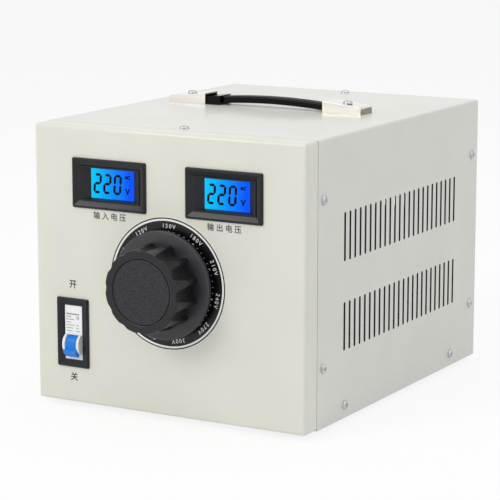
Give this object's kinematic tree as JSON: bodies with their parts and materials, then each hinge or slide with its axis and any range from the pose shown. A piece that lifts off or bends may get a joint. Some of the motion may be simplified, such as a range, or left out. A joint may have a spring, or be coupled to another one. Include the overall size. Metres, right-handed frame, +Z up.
{
  "type": "variable autotransformer",
  "caption": "Bench variable autotransformer: a vented steel case with two lit meters, a turning dial knob, a breaker, a strap handle and rear terminals.",
  "frame": {"origin": "centre of the whole object's box in x and y, at the soles of its rubber feet", "axes": "+X to the right seen from the front, +Y from the front panel to the rear panel, +Z up; the knob faces -Y"},
  "size_m": [0.2728, 0.4034, 0.2608],
  "materials": {
    "powder_coat": "fine textured semi-gloss powder coat",
    "zinc_steel": "bright zinc plate",
    "nickel": "bright nickel plate",
    "black_pvc": "matt moulded PVC",
    "spring_steel": "hardened and tempered",
    "black_abs": "satin moulded ABS",
    "lcd_blue": "backlit glass",
    "green_board": "solder resist",
    "dial_print": "screen-printed",
    "knob_phenolic": "satin moulded",
    "knob_grain": "leather grain",
    "white_thermoset": "moulded thermoset",
    "blue_nylon": "moulded nylon",
    "brass": "turned",
    "core_steel": "strip-wound silicon steel",
    "fish_paper": "insulating paper",
    "enamelled_copper": "enamelled wire",
    "bare_copper": "ground bright",
    "steel_shaft": "ground",
    "cast_aluminium": "die cast",
    "phenolic_brown": "moulded phenolic",
    "carbon": "pressed carbon",
    "rubber": "moulded",
    "black_nylon": "moulded nylon",
    "wire_brown": "extruded PVC",
    "wire_yellow": "extruded PVC",
    "red_nylon": "moulded",
    "black_post": "moulded",
    "ivory_nylon": "moulded nylon"
  },
  "bodies": {
    "case": {"front_panel": "powder_coat", "front_frame": "zinc_steel", "cover": "powder_coat", "base_tray": "zinc_steel", "rear_panel": "powder_coat", "rubber_feet": "rubber", "base_screws": "zinc_steel", "cover_screws": "zinc_steel", "handle_caps": "nickel", "handle_screws": "zinc_steel", "strap_anchor": "black_pvc", "input_meter_bezel": "black_abs", "output_meter_bezel": "black_abs", "input_meter_screen": "lcd_blue", "output_meter_screen": "lcd_blue", "meter_boards": "green_board", "meter_clips": "zinc_steel", "dial_plate": "dial_print", "breaker_frame": "black_abs", "breaker_case": "white_thermoset", "breaker_pin": "zinc_steel", "breaker_clamps": "brass", "breaker_screws": "zinc_steel", "mounting_rail": "zinc_steel", "rail_bracket": "zinc_steel", "toroid_core": "core_steel", "core_wrap": "fish_paper", "winding": "enamelled_copper", "contact_track": "bare_copper", "insulating_washers": "fish_paper", "core_bracket": "zinc_steel", "clamp_plate": "zinc_steel", "core_bolts": "zinc_steel", "shaft_bushes": "brass", "stop_post": "zinc_steel", "cable_gland": "black_nylon", "post_studs": "brass", "post_insulators": "ivory_nylon", "rear_nuts": "zinc_steel", "mains_wiring": "wire_brown", "meter_wiring": "wire_yellow"},
    "rotor": {"knob": "knob_phenolic", "knob_inlay": "knob_grain", "knob_skirt": "knob_phenolic", "knob_set_screw": "zinc_steel", "shaft": "steel_shaft", "shaft_collars": "steel_shaft", "brush_arm": "cast_aluminium", "brush_holder": "phenolic_brown"},
    "brush": {"carbon_brush": "carbon", "brush_spring": "spring_steel"},
    "toggle": {"breaker_toggle": "blue_nylon"},
    "strap": {"strap_grip": "black_pvc", "strap_ends": "black_pvc", "strap_band": "spring_steel"},
    "slider": {"strap_slider": "black_pvc"},
    "red_washer": {"red_post_washer": "zinc_steel"},
    "red_cap": {"red_post_cap": "red_nylon"},
    "black_washer": {"black_post_washer": "zinc_steel"},
    "black_cap": {"black_post_cap": "black_post"}
  },
  "joints": [
    {"name": "dial_turn", "type": "hinge", "parent": "case", "child": "rotor", "pos_m": [0.0009, -0.1597, 0.1212], "axis": [0, 1, 0], "range_deg": [-136, 194]},
    {"name": "brush_slide", "type": "slide", "parent": "rotor", "child": "brush", "axis": [0, 1, 0], "range_m": [-0.002, 0], "stiffness_N_per_m": 300, "springref_m": 0.004, "deforming": ["brush_spring"]},
    {"name": "toggle_swing", "type": "hinge", "parent": "case", "child": "toggle", "pos_m": [-0.0958, -0.1557, 0.0574], "axis": [-1, 0, 0], "range_deg": [0, 84]},
    {"name": "strap_lift", "type": "slide", "parent": "case", "child": "strap", "axis": [0, 0, 1], "range_m": [0, 0.02], "deforming": ["strap_band", "strap_ends"]},
    {"name": "strap_slide", "type": "slide", "parent": "case", "child": "slider", "axis": [-1, 0, 0], "range_m": [0, 0.009]},
    {"name": "red_cap_turn", "type": "hinge", "parent": "red_washer", "child": "red_cap", "pos_m": [0.043, 0.1803, 0.065], "axis": [0, 1, 0], "range_deg": [0, 1080]},
    {"name": "red_washer_slide", "type": "slide", "parent": "case", "child": "red_washer", "axis": [0, 1, 0], "range_m": [0, 0.003]},
    {"name": "black_cap_turn", "type": "hinge", "parent": "black_washer", "child": "black_cap", "pos_m": [0.081, 0.1803, 0.065], "axis": [0, 1, 0], "range_deg": [0, 1080]},
    {"name": "black_washer_slide", "type": "slide", "parent": "case", "child": "black_washer", "axis": [0, 1, 0], "range_m": [0, 0.003]}
  ],
  "couplings": [
    {"joint": "strap_slide", "follows": "strap_lift", "ratio": 0.45},
    {"joint": "red_cap_turn", "follows": "red_washer_slide", "rad_per_m": 6283.2},
    {"joint": "black_cap_turn", "follows": "black_washer_slide", "rad_per_m": 6283.2}
  ]
}
